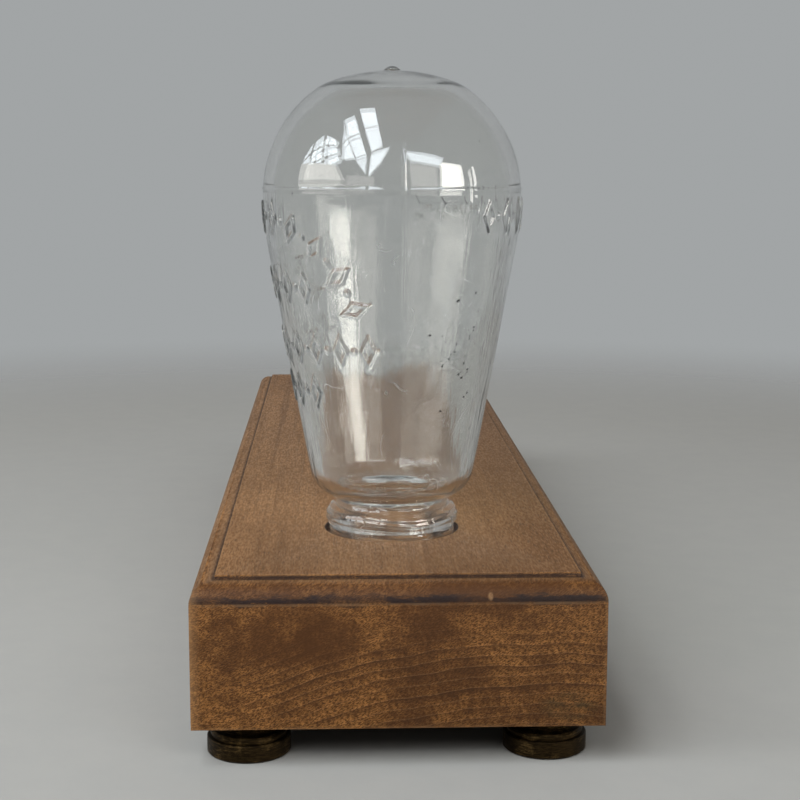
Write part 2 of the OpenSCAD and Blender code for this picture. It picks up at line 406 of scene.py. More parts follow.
class Nodes(Tree):
    """A new material's node tree, with its patterns on the piece's own coordinates."""

    def __init__(self, name):
        self.material = bpy.data.materials.new(name)
        self.material.use_nodes = True
        super().__init__(self.material.node_tree)
        self.output = self.add("ShaderNodeOutputMaterial")
        self.shader = self.add("ShaderNodeBsdfPrincipled")
        self.place = self.add("ShaderNodeTexCoord").outputs["Object"]

    def set(self, **values):
        for key, value in values.items():
            self.feed(self.shader.inputs[key.replace("_", " ").title().replace("Ior", "IOR")], value)

    def range(self, value, low, high, to_low=0.0, to_high=1.0):
        """A smooth step between two outputs as a value goes from low to high."""
        return self.add("ShaderNodeMapRange", {
            "Value": value, "From Min": low, "From Max": high, "To Min": to_low, "To Max": to_high},
            interpolation_type="SMOOTHSTEP").outputs[0]

    def band(self, value, middle, half_width, soft):
        """1 where a value is within half_width of middle, and falls to 0 over soft."""
        away = self.math("ABSOLUTE", self.minus(value, middle))
        return self.range(away, half_width, half_width + soft, 1, 0)

    def patch(self, x, z, middle, reach):
        """1 at the middle of an oval seen from the front, 0 at its edge; sizes in millimetres."""
        across = self.math("DIVIDE", self.minus(x, middle[0] * MM), reach[0] * MM)
        up = self.math("DIVIDE", self.minus(z, middle[1] * MM), reach[1] * MM)
        return self.range(self.squares(across, up), 0, 1, 1, 0)

    def mix(self, factor, a, b):
        return self.add("ShaderNodeMix", {0: factor, 6: a, 7: b}, data_type="RGBA").outputs[2]

    def noise(self, scale, detail=2.0, rough=0.5, twist=0.0, squash=None, place=None):
        """Noise over the piece; it is drawn out along an axis whose share in squash is small."""
        place = place or self.place
        if squash:
            place = self.add("ShaderNodeMapping", {"Vector": place, "Scale": squash}).outputs[0]
        return self.add("ShaderNodeTexNoise", {
            "Vector": place, "Scale": scale, "Detail": detail, "Roughness": rough,
            "Distortion": twist}).outputs[0]

    def bump(self, height, depth, under=None):
        node = self.add("ShaderNodeBump", {"Height": height, "Distance": depth})
        if under:
            self.feed(node.inputs["Normal"], under)
        return node.outputs[0]

    def end(self, surface=None):
        self.feed(self.output.inputs["Surface"], surface or self.shader.outputs[0])
        return self.material


# Materials


def dark_specks(m, inner):
    """Dark specks on the outside of the bottle's front half, thickest in a patch on the right."""
    x, y, z = m.split(m.place)
    spots = m.add("ShaderNodeTexVoronoi", {"Vector": m.place, "Scale": 560}).outputs
    cluster = m.times(m.patch(x, z, (20, 125), (14, 32)), m.range(m.noise(130), 0.48, 0.6))
    chosen = m.math("LESS_THAN", m.split(spots["Color"])[0], m.fit(cluster, 0.75, 0.0015))
    torn = m.fit(m.noise(1500), 0.9, spots["Distance"])
    outside = m.math("LESS_THAN", inner, 0.5)
    front = m.math("LESS_THAN", y, AXIS_Y)
    return m.times(m.range(torn, 0.66, 0.76, 1, 0), chosen, outside, front)


def clear_glass(finish):
    """Old clear glass, hazy and a little uneven, that lets lamps through to what stands behind it."""
    m = Nodes("clear_glass")
    z = m.split(m.place)[2]
    inner = m.add("ShaderNodeAttribute", attribute_name="inner_skin").outputs["Fac"]
    wall = m.times(inner, m.range(z, MOUTH_LEVEL + 145 * MM, MOUTH_LEVEL + 125 * MM))
    haze = m.times(m.range(m.noise(60, 4, 0.62, 0.4), 0.4, 0.7),
                   m.range(m.noise(230, 3, 0.6, squash=(1, 1, 0.12)), 0.35, 0.7))
    dull = m.fit(wall, 0.055, 0.004)
    rough = m.fit(haze, m.fit(wall, 0.13, 0.02), dull)
    line = m.band(m.noise(48, 1, 0.5, 1.2), 0.5, 0.0012, 0.002)
    scuff = m.times(line, m.range(m.noise(75), 0.54, 0.62))

    # Upright ream in the inner surface, and a faint skin all over
    ream = m.noise(450, squash=(1, 1, 0.05))
    body = m.times(wall, m.math("COMPARE", inner, 1.0, 0.5))
    skin = m.bump(m.noise(420), 0.005 * MM)
    m.set(base_color=m.mix(dark_specks(m, inner), finish.tint, finish.speck),
          roughness=m.fit(scuff, 0.25, rough), ior=1.5, transmission_weight=0.99,
          normal=m.bump(m.times(ream, body), 0.13 * MM, under=skin))
    lamps = m.add("ShaderNodeLightPath").outputs["Is Shadow Ray"]
    through = m.add("ShaderNodeBsdfTransparent", {"Color": finish.shadow}).outputs[0]
    return m.end(m.mix_shaders(lamps, m.shader.outputs[0], through))


class Wood(Nodes):
    """Oiled wood cut from a log that lies along Y, so its ends show rings and its sides long grain."""

    def __init__(self, finish):
        super().__init__("oiled_wood")
        self.finish = finish
        self.x, self.y, self.z = self.split(self.place)
        self.half_width = (BASE_HIGH.x - BASE_LOW.x) / 2
        self.half_length = (BASE_HIGH.y - BASE_LOW.y) / 2
        self.round_foot = BASE_HIGH.z - finish.step_height - finish.edge_radius
        self.near_front = self.range(self.y, -self.half_length + 6 * MM, -self.half_length + 2 * MM)
        leaning = self.add("ShaderNodeMapping", {"Vector": self.place, "Rotation": (0, GRAIN_LEAN, 0)})
        self.grain = self.noise(3000, 1, squash=(0.32, 0.1, 1), place=leaning.outputs[0])
        self.pores = self.noise(2300, 2, 0.6, squash=(1, 0.07, 1))
        self.blotch = self.noise(34, 5, 0.68, squash=(1, 0.3, 1))
        self.ragged = self.noise(230, 5, 0.75, squash=(0.4, 1, 1.6))
        self.late, self.early = self.year_rings()
        self.past_step = self.distance_past_step()

    def year_rings(self):
        """Darkness of the late wood and paleness of the early wood, round an axis along Y."""
        warp = self.noise(22, 3, 0.55, squash=(1, 0.12, 1))
        across = self.minus(self.x, self.finish.heart_across)
        up = self.math("ADD", self.z, self.finish.heart_below)
        radius = self.math("SQRT", self.squares(across, up))
        count = self.math("DIVIDE", self.fit(warp, 0.007, radius), self.finish.ring_spacing)
        part = self.math("FRACT", count)
        own = self.add("ShaderNodeTexWhiteNoise", {"W": self.math("FLOOR", count)},
                       noise_dimensions="1D").outputs[0]
        late = self.times(self.math("POWER", part, 1.7), self.range(own, 0, 1, 0.35, 1))
        return late, self.times(self.range(part, 0, 0.16, 1, 0), 0.5)

    def distance_past_step(self):
        """How far a place lies outside the raised top's rim, below 0 on the top itself."""
        finish = self.finish
        sides = [self.minus(self.math("ABSOLUTE", value), half - finish.edge_radius - finish.step_ledge)
                 for value, half in ((self.x, self.half_width), (self.y, self.half_length))]
        return self.math("MAXIMUM", *sides)

    def paint(self, colour, *shares):
        """Lays a colour over the wood, as thick as the product of its shares."""
        self.wood = self.mix(self.times(*shares), self.wood, colour)

    def lay_grain(self):
        """The plain wood: blotches, mottle, grain, pores and year rings, softer on the long sides, with
        painted shade towards the right and darker towards the front end.
        """
        finish = self.finish
        facing = self.split(self.add("ShaderNodeTexCoord").outputs["Normal"])[1]
        end = self.range(self.math("ABSOLUTE", facing), 0.04, 0.3)
        strength = self.range(end, 0, 1, 0.55, 1)
        level = self.noise(26, 3, 0.6, squash=(1, 0.25, 1))
        lines = self.noise(520, 4, 0.75, squash=(1, 0.012, 1))
        mottle = self.noise(480, 2, 0.6, squash=(0.6, 0.3, 1))
        dark = self.mix(end, finish.long_dark, finish.end_dark)
        # The ends take the end grain's colour, made paler as painted light for the dimly lit front
        self.wood = self.mix(end, finish.long_light, finish.end_grain_and_painted_light)
        self.paint(dark, self.range(self.blotch, 0.42, 0.66, 0, 0.85), strength)
        # Painted shade: the wood darkens towards the right, away from the light on the left
        self.paint(self.mix(end, dark, self.wood), self.range(self.x, -45 * MM, 70 * MM, 0, 0.55))
        # Darker towards the front end
        self.paint(self.mix(end, dark, self.wood), self.range(self.y, -130 * MM, -215 * MM, 0, 0.45))
        self.paint(dark, self.range(mottle, 0.42, 0.68, 0, 0.45), strength)
        self.paint(dark, self.range(self.grain, 0.44, 0.62, 0, 0.9), strength)
        self.paint(dark, self.range(lines, 0.42, 0.68, 0, 0.7))
        self.paint(finish.worn, self.range(self.grain, 0.44, 0.32, 0, 0.14))
        self.paint(finish.stain_and_shade, self.range(self.pores, 0.54, 0.66, 0, 0.75), strength)
        rings_show = self.times(
            self.range(self.z, 48 * MM, 30 * MM, 0.15, 1), self.range(level, 0.32, 0.5, 0.4, 1),
            self.range(self.x, -58 * MM, -25 * MM, 0.3, 1))
        self.paint(dark, self.late, rings_show, 0.8)
        self.paint(finish.stain_and_shade, self.late, rings_show, 0.3)
        self.paint(finish.worn, self.early, rings_show, 0.35)

    def mark_and_shade_front(self):
        """A dark line along the foot of the front's rounded edge, painted shade over the front's upper part,
        patches, a chip and a paler left end.
        """
        finish, foot = self.finish, self.round_foot
        self.paint(finish.end_dark, self.range(self.z, foot, foot + 1.5 * MM), self.near_front, 0.6)
        # Painted shade over the upper part of the front face, mottled
        self.paint(finish.end_dark, self.range(self.z, 34 * MM, 49 * MM, 0, 0.4),
                   self.range(self.blotch, 0.35, 0.6, 0.3, 1), self.near_front)
        broken = self.range(self.noise(75, 4, 0.65, squash=(1, 0.2, 0.2)), 0.34, 0.56, 0.5, 1)
        streak = self.band(self.fit(self.ragged, 7 * MM, self.z), foot + 4.5 * MM, 0.5 * MM, 1.4 * MM)
        self.paint(finish.stain_and_shade, streak, broken, self.near_front, 0.95)
        marks = (
            (finish.end_dark, (-31, 41), (25, 12), self.range(self.blotch, 0.25, 0.55), 0.85),
            (finish.smudge, (52, 19), (11, 6), self.range(self.ragged, 0.35, 0.65), 0.65),
            (finish.worn, (27.6, 53.6), (1.0, 1.5), self.range(self.grain, 0.35, 0.5, 0.5, 1), 0.6),
        )
        for colour, middle, reach, uneven, share in marks:
            self.paint(colour, self.patch(self.x, self.z, middle, reach), uneven, self.near_front, share)
        # The front is paler towards its left end
        pale_left_end = self.range(self.x, 4 * MM - self.half_width, -self.half_width)
        self.paint(finish.worn, pale_left_end, self.near_front, 0.3)

    def add_grime_and_shade(self):
        """Painted shade and grime at the foot of the step, and painted shade inside the socket and under the
        base.
        """
        top, low = BASE_HIGH.z, BASE_LOW.z
        stain_and_shade, socket = self.finish.stain_and_shade, self.finish.socket_diameter / 2
        # Painted shade with ragged grime in the crease at the foot of the step
        below_top = self.range(self.z, top - 0.25 * MM, top - 0.6 * MM)
        above_round = self.range(self.z, self.round_foot + 4 * MM, self.round_foot + 5.5 * MM)
        self.paint(stain_and_shade, below_top, above_round, self.band(self.past_step, 0.2 * MM, 0.35 * MM, 1.1 * MM),
                   self.range(self.ragged, 0.2, 0.55, 0.55, 1), 0.75)
        # Painted shade on the socket's upper wall, strong at the sides and faint at the front and back
        reach = self.math("SQRT", self.squares(self.x, self.minus(self.y, AXIS_Y)))
        hole = self.range(reach, socket + 0.05 * MM, socket + 0.5 * MM, 1, 0)
        upper = self.range(self.z, top - 7 * MM, top - 2 * MM)
        beside = self.range(self.math("ABSOLUTE", self.x), 17 * MM, 22 * MM, 0.05, 1)
        self.paint(stain_and_shade, upper, beside, hole)
        # Painted shade on the underside of the base
        self.paint(stain_and_shade, self.range(self.z, low + 0.1 * MM, low, 0, 0.8))

    def rub_edges(self):
        """Rubbed edges: the corners, the lower edge, the foot of the rounded edge, the step's rim."""
        top, low = BASE_HIGH.z, BASE_LOW.z
        side_x = self.minus(self.half_width, self.math("ABSOLUTE", self.x))
        side_y = self.minus(self.half_length, self.math("ABSOLUTE", self.y))
        on_side = self.range(self.math("MINIMUM", side_x, side_y), 0.2 * MM, 0.7 * MM, 1, 0)
        edges = self.range(self.math("ADD", side_x, side_y), 0.35 * MM, 1.3 * MM, 1, 0)
        others = (
            self.times(self.range(self.z, low + 0.3 * MM, low + 1.0 * MM, 1, 0), on_side),
            self.times(self.band(self.z, self.round_foot - 0.2 * MM, 0.15 * MM, 0.5 * MM), on_side),
            self.times(self.band(self.past_step, -0.25 * MM, 0.1 * MM, 0.55 * MM),
                       self.range(self.z, top - 0.7 * MM, top - 0.4 * MM)),
        )
        for other in others:
            edges = self.math("MAXIMUM", edges, other)
        self.paint(self.finish.worn, edges, self.range(self.ragged, 0.35, 0.6, 0.15, 1), 0.26)


def oiled_wood(finish):
    """The base's wood, with its stains, its grime, its painted shade and its rubbed edges."""
    m = Wood(finish)
    m.lay_grain()
    m.mark_and_shade_front()
    m.add_grime_and_shade()
    m.rub_edges()
    height = m.fit(m.late, -0.6, m.fit(m.pores, -0.8, m.times(m.grain, -0.9)))
    m.set(base_color=m.wood, roughness=m.range(m.grain, 0.3, 0.7, 0.48, 0.66),
          normal=m.bump(height, 0.14 * MM), specular_ior_level=0.15)
    return m.end()


def aged_brass(name, metal, patina, wear):
    """Turned brass, dark with patina and rubbed through in thin level streaks."""
    m = Nodes(name)
    cloud = m.noise(150, 4, 0.65, 0.3)
    turned = m.noise(420, 4, 0.7, squash=(1, 1, 6))
    pitted = m.noise(1500, 2, 0.6)
    rub = m.range(m.fit(turned, 0.6, cloud), 0.9 - wear, 1.2 - wear)
    tone = m.mix(m.range(turned, 0.35, 0.75, 0, 0.2), patina, metal)
    tone = m.mix(m.times(rub, 0.75), tone, metal)
    m.set(base_color=tone, metallic=1.0, roughness=m.range(rub, 0, 1, 0.55, 0.36),
          normal=m.bump(m.fit(pitted, 0.4, turned), 0.05 * MM))
    return m.end()


# The glass bottle


def lozenge(across, along):
    """Height of a lozenge outlined by a round ridge at a point, from 0 to 1."""
    size = abs(across) / LOZENGE_WIDTH + abs(along) / LOZENGE_LENGTH
    slant = LOZENGE_WIDTH * LOZENGE_LENGTH / math.hypot(LOZENGE_WIDTH, LOZENGE_LENGTH)
    away = (size - 1) * slant / LOZENGE_RIDGE
    return math.sqrt(max(0.0, 1 - away * away))


def bead(across, along):
    """Height of a raised round bead at a point, from 0 to 1."""
    inside = 1 - (across * across + along * along) / (BEAD_SIZE * BEAD_SIZE)
    return math.sqrt(max(0.0, inside))


def ornament_rows():
    """The places of the raised ornament: turn from the front, height, lean and whether it is a bead."""
    places = []
    for i in range(ARCH_MARKS):
        lean = (i - (ARCH_MARKS - 1) / 2) * MARK_PITCH / ARCH_RADIUS
        height = ARCH_TOP - ARCH_RADIUS * (1 - math.cos(lean))
        turn = ARCH_MIDDLE + ARCH_RADIUS * math.sin(lean) / ARCH_BODY_RADIUS
        places.append((turn, height, lean, i % 2))
    for degrees, height, marks, radius in LEVEL_ROWS:
        for i in range(marks):
            across = (i - (marks - 1) / 2) * MARK_PITCH * LEVEL_SHARE
            places.append((math.radians(degrees) + across / (radius * MM), height * MM, 0, i % 2))
    return places


def turn_between(a, b):
    """Difference of two angles, from minus half a turn to half a turn."""
    return (a - b + math.pi) % (2 * math.pi) - math.pi


def azimuth_of(point):
    """Angle round the bottle from the front, positive to the right."""
    return math.atan2(point.x - AXIS_X, -(point.y - AXIS_Y))


def radius_of(point):
    return math.hypot(point.x - AXIS_X, point.y - AXIS_Y)


def marks_near(places, point):
    """For each ornament near a point: how far across and along it the point lies, and its kind."""
    turn, height, radius = azimuth_of(point), point.z - MOUTH_LEVEL, radius_of(point)
    for place_turn, place_height, lean, kind in places:
        up = height - place_height
        across = turn_between(turn, place_turn) * radius
        if abs(up) < MARK_REACH and abs(across) < MARK_REACH:
            yield (across * math.cos(lean) - up * math.sin(lean),
                   across * math.sin(lean) + up * math.cos(lean), kind)


def relief_height(places, point):
    heights = (bead(across, along) if kind else lozenge(across, along)
               for across, along, kind in marks_near(places, point))
    return max(heights, default=0.0)


class BottlePlan:
    """The arcs of the bottle's section, worked out from its sizes."""

    def __init__(self, s):
        self.sizes = s
        self.body = s.body_diameter / 2
        self.mouth = s.bead_diameter / 2 - s.bead_overhang
        self.bore = s.bore_diameter / 2
        self.bead = Vector((s.bead_diameter / 2 - s.bead_radius, s.bead_height))
        self.dome = Vector((0, s.widest_height))
        self.side = Vector((self.body - s.side_curve, s.widest_height))
        self.shoulder = Vector((s.shoulder_diameter / 2 - s.shoulder_radius,
                                s.shoulder_height + s.shoulder_radius))
        self.top = s.widest_height + self.body - s.crown_drop
        self.crown = Vector((0, self.top - s.crown_radius))
        ratio = (s.shoulder_radius - s.side_curve) / (self.side - self.shoulder).length
        self.taper = math.acos(ratio) - bearing(self.shoulder, self.side)
        gap = (self.shoulder - self.bead).length - s.bead_radius - s.shoulder_radius
        hollow = gap / 2 + s.neck_ease
        self.neck = meet(self.bead, s.bead_radius + hollow, self.shoulder, s.shoulder_radius + hollow)
        lip_x = self.mouth + s.lip_fillet
        self.lip = Vector((lip_x, s.bead_height - leg(s.bead_radius + s.lip_fillet, lip_x - self.bead.x)))

    def blend(self, wall, top_wall):
        """Centre of the arc between dome and crown, for the outer surface or one inside it."""
        s = self.sizes
        return meet(self.crown, s.crown_radius - top_wall - s.crown_blend + wall,
                    self.dome, self.body - s.crown_blend)

    def outer_radius(self, height):
        """Radius of the outer surface at a height between shoulder and crown."""
        s = self.sizes
        if height > s.widest_height:
            rise = height - s.widest_height
            return leg(self.body, rise) if rise < self.body else 0.0
        tangent = polar(self.side, s.side_curve, -self.taper)
        if height > tangent.y:
            return self.side.x + leg(s.side_curve, height - self.side.y)
        start = polar(self.shoulder, s.shoulder_radius, -self.taper)
        if height > start.y:
            return tangent.x - (tangent.y - height) * math.tan(self.taper)
        return self.shoulder.x + leg(s.shoulder_radius, height - self.shoulder.y)

    def is_outer(self, point):
        """True for a point of the outer surface above the neck."""
        s = self.sizes
        height = point.z - MOUTH_LEVEL
        if height < s.shoulder_height:
            return False
        middle = Vector((AXIS_X, AXIS_Y, MOUTH_LEVEL + s.widest_height))
        if height > s.widest_height:
            return (point - middle).length > self.body - s.side_wall / 2 - s.crown_drop
        return radius_of(point) > self.outer_radius(height) - s.side_wall / 2


def draw_inside(section, plan, spacing):
    """The inner surface, from the middle of the crown down the bore to the mouth's end."""
    s = plan.sizes
    right = math.pi / 2
    blend = plan.blend(s.side_wall, s.crown_wall)
    section.arc(plan.crown, right, bearing(plan.crown, blend), spacing)
    section.arc(blend, bearing(plan.crown, blend), bearing(plan.dome, blend), spacing)
    section.arc(plan.dome, bearing(plan.dome, blend), 0, spacing)
    section.arc(plan.side, 0, -plan.taper, spacing)
    section.line(polar(plan.shoulder, s.shoulder_radius - s.side_wall, -plan.taper), spacing)
    section.arc(plan.shoulder, -plan.taper, -right, spacing / 2)
    floor_level = s.shoulder_height + s.side_wall
    section.line(Vector((plan.bore + s.bore_round, floor_level)), spacing)
    section.arc(Vector((plan.bore + s.bore_round, floor_level - s.bore_round)), right, 2 * right, spacing / 3)
    section.line(Vector((plan.bore, s.mouth_round)), spacing / 2)
    section.arc(Vector((plan.bore + s.mouth_round, s.mouth_round)), 2 * right, 3 * right, spacing / 4)
    section.line(Vector((plan.mouth - s.mouth_round, 0)), spacing)


def draw_lip(section, plan, spacing):
    """The plain ring, the bead and the neck's hollow."""
    s = plan.sizes
    section.arc(Vector((plan.mouth - s.mouth_round, s.mouth_round)), -math.pi / 2, 0, spacing)
    section.line(Vector((plan.mouth, plan.lip.y)), spacing)
    section.arc(plan.lip, math.pi, bearing(plan.lip, plan.bead), spacing)
    section.arc(plan.bead, bearing(plan.bead, plan.lip), bearing(plan.bead, plan.neck), spacing)
    section.arc(plan.neck, bearing(plan.neck, plan.bead) + 2 * math.pi,
                bearing(plan.neck, plan.shoulder), spacing)


def draw_side(section, plan, spacing):
    """The shoulder, the tapered side and the dome as far as the level seam."""
    s = plan.sizes
    section.arc(plan.shoulder, bearing(plan.shoulder, plan.neck), -plan.taper, spacing / 1.5)
    section.line(polar(plan.side, s.side_curve, -plan.taper), spacing)
    section.arc(plan.side, -plan.taper, 0, spacing)
    section.arc(plan.dome, 0, seam_turn(plan, -1), spacing)


def seam_turn(plan, side):
    """Angle on the dome of the level seam's lower edge, middle or upper edge: side is -1, 0 or 1."""
    s = plan.sizes
    return math.asin((s.seam_height - s.widest_height) / plan.body) + side * s.seam_width / 2 / plan.body


def draw_top(section, plan, spacing):
    """The level seam, the dome, the crown and its nub."""
    s = plan.sizes
    blend = plan.blend(0, 0)
    section.arc(plan.dome, seam_turn(plan, -1), seam_turn(plan, 1), s.seam_width / 2)
    section.arc(plan.dome, seam_turn(plan, 1), bearing(plan.dome, blend), spacing)
    section.arc(blend, bearing(plan.dome, blend), bearing(plan.crown, blend), spacing)
    nub = s.nub_diameter / 2
    edge = Vector((nub, plan.crown.y + leg(s.crown_radius, nub)))
    section.arc(plan.crown, bearing(plan.crown, blend), bearing(plan.crown, edge), spacing)
    rise = plan.top + s.nub_height - edge.y
    centre = Vector((0, plan.top + s.nub_height - (nub * nub + rise * rise) / (2 * rise)))
    section.arc(centre, bearing(centre, edge), math.pi / 2, spacing / 4)


def make_bottle(s):
    """The bottle's glass as one closed skin, turned from its section."""
    plan = BottlePlan(s)
    section = Section("glass_bottle", Vector((0, plan.top - s.crown_wall)))
    draw_inside(section, plan, s.inner_spacing)
    draw_lip(section, plan, s.row_spacing / 3)
    draw_side(section, plan, s.row_spacing)
    draw_top(section, plan, s.row_spacing)
    piece = section.turn(s.turn_steps)
    raise_seams(piece, plan)
    raise_relief(piece, plan)
    ripple(piece, plan)
    add_bubble(piece, plan)
    mark_inner_skin(piece, plan)
    make_active(piece)
    bpy.ops.object.shade_smooth()
    return piece


def raise_seams(piece, plan):
    """Low ridges where the mould's parts met: one level, one upright on each side."""
    s = plan.sizes
    strip, nub_room, level_room, touch = 3 * MM, 12 * MM, 0.1 * MM, 0.02 * MM
    edit(piece)
    level = MOUTH_LEVEL + s.widest_height + plan.body * math.sin(seam_turn(plan, 0))
    select_where(piece, "VERT", lambda v: abs(v.co.z - level) < level_room and plan.is_outer(v.co))
    bpy.ops.transform.shrink_fatten(value=s.level_rise)
    side = Vector((math.cos(s.seam_angle), math.sin(s.seam_angle), 0))
    middle = Vector((AXIS_X, AXIS_Y, 0))
    for shift in (-s.seam_width / 2, 0, s.seam_width / 2):
        select_where(piece, "FACE", lambda f: plan.is_outer(f.calc_center_median())
                     and abs((f.calc_center_median() - middle).dot(side)) < strip)
        bpy.ops.mesh.bisect(plane_co=middle + side * shift, plane_no=side)
    select_where(piece, "VERT", lambda v: plan.is_outer(v.co) and radius_of(v.co) > nub_room
                 and abs((v.co - middle).dot(side)) < touch)
    bpy.ops.transform.shrink_fatten(value=s.seam_rise)
    leave_edit()


def raise_relief(piece, plan):
    """Rows of raised lozenges and beads on the bottle's sides."""
    s = plan.sizes
    places = ornament_rows()

    def on_side(point):
        return point.z - MOUTH_LEVEL < s.seam_height - s.seam_width and plan.is_outer(point)

    def near(face):
        point = face.calc_center_median()
        return on_side(point) and any(
            abs(across) < MARK_ROOM[kind][0] and abs(along) < MARK_ROOM[kind][1]
            for across, along, kind in marks_near(places, point))

    edit(piece)
    select_where(piece, "FACE", near)
    bpy.ops.mesh.subdivide(number_cuts=3, smoothness=0)
    leave_edit()
    for vertex in piece.data.vertices:
        if vertex.select and on_side(vertex.co):
            stretch = plan.outer_radius(vertex.co.z - MOUTH_LEVEL) / radius_of(vertex.co)
            vertex.co.x = AXIS_X + (vertex.co.x - AXIS_X) * stretch
            vertex.co.y = AXIS_Y + (vertex.co.y - AXIS_Y) * stretch

    def height_at(vertex):
        raised = vertex.select and on_side(vertex.co)
        return relief_height(places, vertex.co) if raised else 0.0

    set_weights(piece, "relief", height_at)
    apply_modifier(piece, "DISPLACE", strength=s.relief_rise, mid_level=0, direction="NORMAL",
                   vertex_group="relief")


def ripple(piece, plan):
    """The unevenness of hand-worked glass, less outside than inside, and the lip's tooling rings."""
    s = plan.sizes
    neck_room, neck_fade = 2 * MM, 6 * MM
    lip_start, lip_fade, lip_depth = 3 * MM, 2 * MM, 3 * MM

    def ripple_share(point):
        """1 where the glass may ripple, falling to 0 at the nub, the neck and the lip."""
        height = point.z - MOUTH_LEVEL
        if radius_of(point) < s.nub_diameter and height > s.widest_height:
            return 0.0
        return min(1.0, max(0.0, (height - s.shoulder_height - neck_room) / neck_fade))

    def ridges(point):
        height = point.z - MOUTH_LEVEL
        if not lip_start < height < s.shoulder_height or radius_of(point) < plan.mouth - lip_depth:
            return 0.0
        turn = azimuth_of(point)
        wander = 0.5 * MM * math.sin(turn * 2 + 1) + 0.3 * MM * math.sin(turn * 5)
        wave = 0.5 + 0.5 * math.sin(2 * math.pi * (height + wander) / s.ridge_spacing)
        return wave * min(1.0, (height - lip_start) / lip_fade)

    outer = [plan.is_outer(v.co) for v in piece.data.vertices]
    set_weights(piece, "outside", lambda v: outer[v.index] * ripple_share(v.co))
    set_weights(piece, "inside", lambda v: (not outer[v.index]) * ripple_share(v.co))
    set_weights(piece, "lip", lambda v: ridges(v.co))
    waves = (("outside", s.outer_ripple, 26 * MM), ("inside", s.inner_ripple, 24 * MM))
    for group, depth, size in waves:
        clouds = bpy.data.textures.new(group + "_clouds", "CLOUDS")
        clouds.noise_scale = size
        clouds.noise_depth = 1
        apply_modifier(piece, "DISPLACE", texture=clouds, texture_coords="LOCAL",
                       strength=depth, mid_level=0.5, direction="NORMAL", vertex_group=group)
    apply_modifier(piece, "DISPLACE", strength=-s.lip_ridge, mid_level=0, direction="NORMAL",
                   vertex_group="lip")


def add_bubble(piece, plan):
    """A flat air bubble in the glass under the nub, whose faces look into the air."""
    s = plan.sizes
    lift = 0.1 * MM
    clear_selection()
    bpy.ops.mesh.primitive_uv_sphere_add(
        segments=32, ring_count=16, radius=s.bubble_diameter / 2,
        location=(AXIS_X, AXIS_Y, MOUTH_LEVEL + plan.top + lift))
    bubble = edit_new("bubble")
    bpy.ops.transform.resize(value=(1, 1, s.bubble_height / s.bubble_diameter))
    bpy.ops.mesh.flip_normals()
    leave_edit()
    make_active(piece)
    bubble.select_set(True)
    bpy.ops.object.join()


def mark_inner_skin(piece, plan):
    """An attribute that is 1 on the dull inner surface, and more on its floor and in the ground bore."""
    shoulder_level = MOUTH_LEVEL + plan.sizes.shoulder_height
    margin = 0.5 * MM
    floor_level = shoulder_level + plan.sizes.side_wall + margin
    bore = plan.bore + 2 * margin
    values = []
    for vertex in piece.data.vertices:
        height, radius = vertex.co.z, radius_of(vertex.co)
        outside = plan.is_outer(vertex.co) if height > shoulder_level else radius > bore
        dullness = BORE_DULLNESS if height < floor_level else 1.0
        values.append(0.0 if outside else dullness)
    attribute = piece.data.attributes.new("inner_skin", "FLOAT", "POINT")
    attribute.data.foreach_set("value", values)


# The wooden base


def make_base(finish):
    """The moulded block, with a rounded edge, a step, a socket and the feet's screw holes."""
    size = BASE_HIGH - BASE_LOW
    middle = (BASE_HIGH + BASE_LOW) / 2
    block_height = size.z - finish.step_height
    clear_selection()
    bpy.ops.mesh.primitive_cube_add(size=1, location=(0, 0, 0))
    piece = edit_new("wooden_base")
    bpy.ops.transform.resize(value=(size.x, size.y, block_height))
    bpy.ops.transform.translate(value=(middle.x, middle.y, BASE_LOW.z + block_height / 2))
    top = BASE_LOW.z + block_height
    near = 0.01 * MM
    select_where(piece, "EDGE", lambda e: all(abs(v.co.z - top) < near for v in e.verts))
    bpy.ops.mesh.bevel(offset_type="OFFSET", offset=finish.edge_radius, segments=EDGE_STEPS, profile=0.5,
                       affect="EDGES", clamp_overlap=True)
    select_where(piece, "FACE", lambda f: all(abs(v.co.z - top) < near for v in f.verts))
    bpy.ops.mesh.inset(thickness=finish.step_ledge, depth=0)
    bpy.ops.mesh.extrude_region_move(TRANSFORM_OT_translate={"value": (0, 0, finish.step_height)})
    leave_edit()
    drill(piece, (AXIS_X, AXIS_Y), MOUTH_LEVEL, BASE_HIGH.z + CUTTER_OVERRUN,
          finish.socket_diameter / 2, SOCKET_STEPS)
    for corner in CORNERS:
        low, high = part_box("screw_" + corner)
        place = (low + high) / 2
        drill(piece, (place.x, place.y), BASE_LOW.z - CUTTER_OVERRUN, high.z,
              finish.screw_hole / 2, HOLE_STEPS)
    apply_modifier(piece, "BEVEL", width=finish.arris, segments=3, limit_method="ANGLE",
                   angle_limit=SOFTEN_OVER)
    make_active(piece)
    bpy.ops.object.shade_smooth_by_angle(angle=SMOOTH_UNDER)
    return piece


def drill(piece, place, low, high, radius, steps):
    """Cuts a round upright hole."""
    clear_selection()
    bpy.ops.mesh.primitive_cylinder_add(vertices=steps, radius=radius, depth=high - low,
                                        location=(*place, (low + high) / 2))
    cutter = bpy.context.active_object
    apply_modifier(piece, "BOOLEAN", operation="DIFFERENCE", object=cutter, solver="EXACT")
    bpy.data.objects.remove(cutter)


def finish_nodes(prefix, material):
    for corner in CORNERS:
        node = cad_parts[prefix + corner]
        node.data.materials.clear()
        node.data.materials.append(material)


# Stage


def direction(azimuth, elevation):
    """Unit vector at an azimuth to the right of the front and an elevation, in degrees."""
    a, e = math.radians(azimuth), math.radians(elevation)
    return Vector((math.sin(a) * math.cos(e), -math.cos(a) * math.cos(e), math.sin(e)))


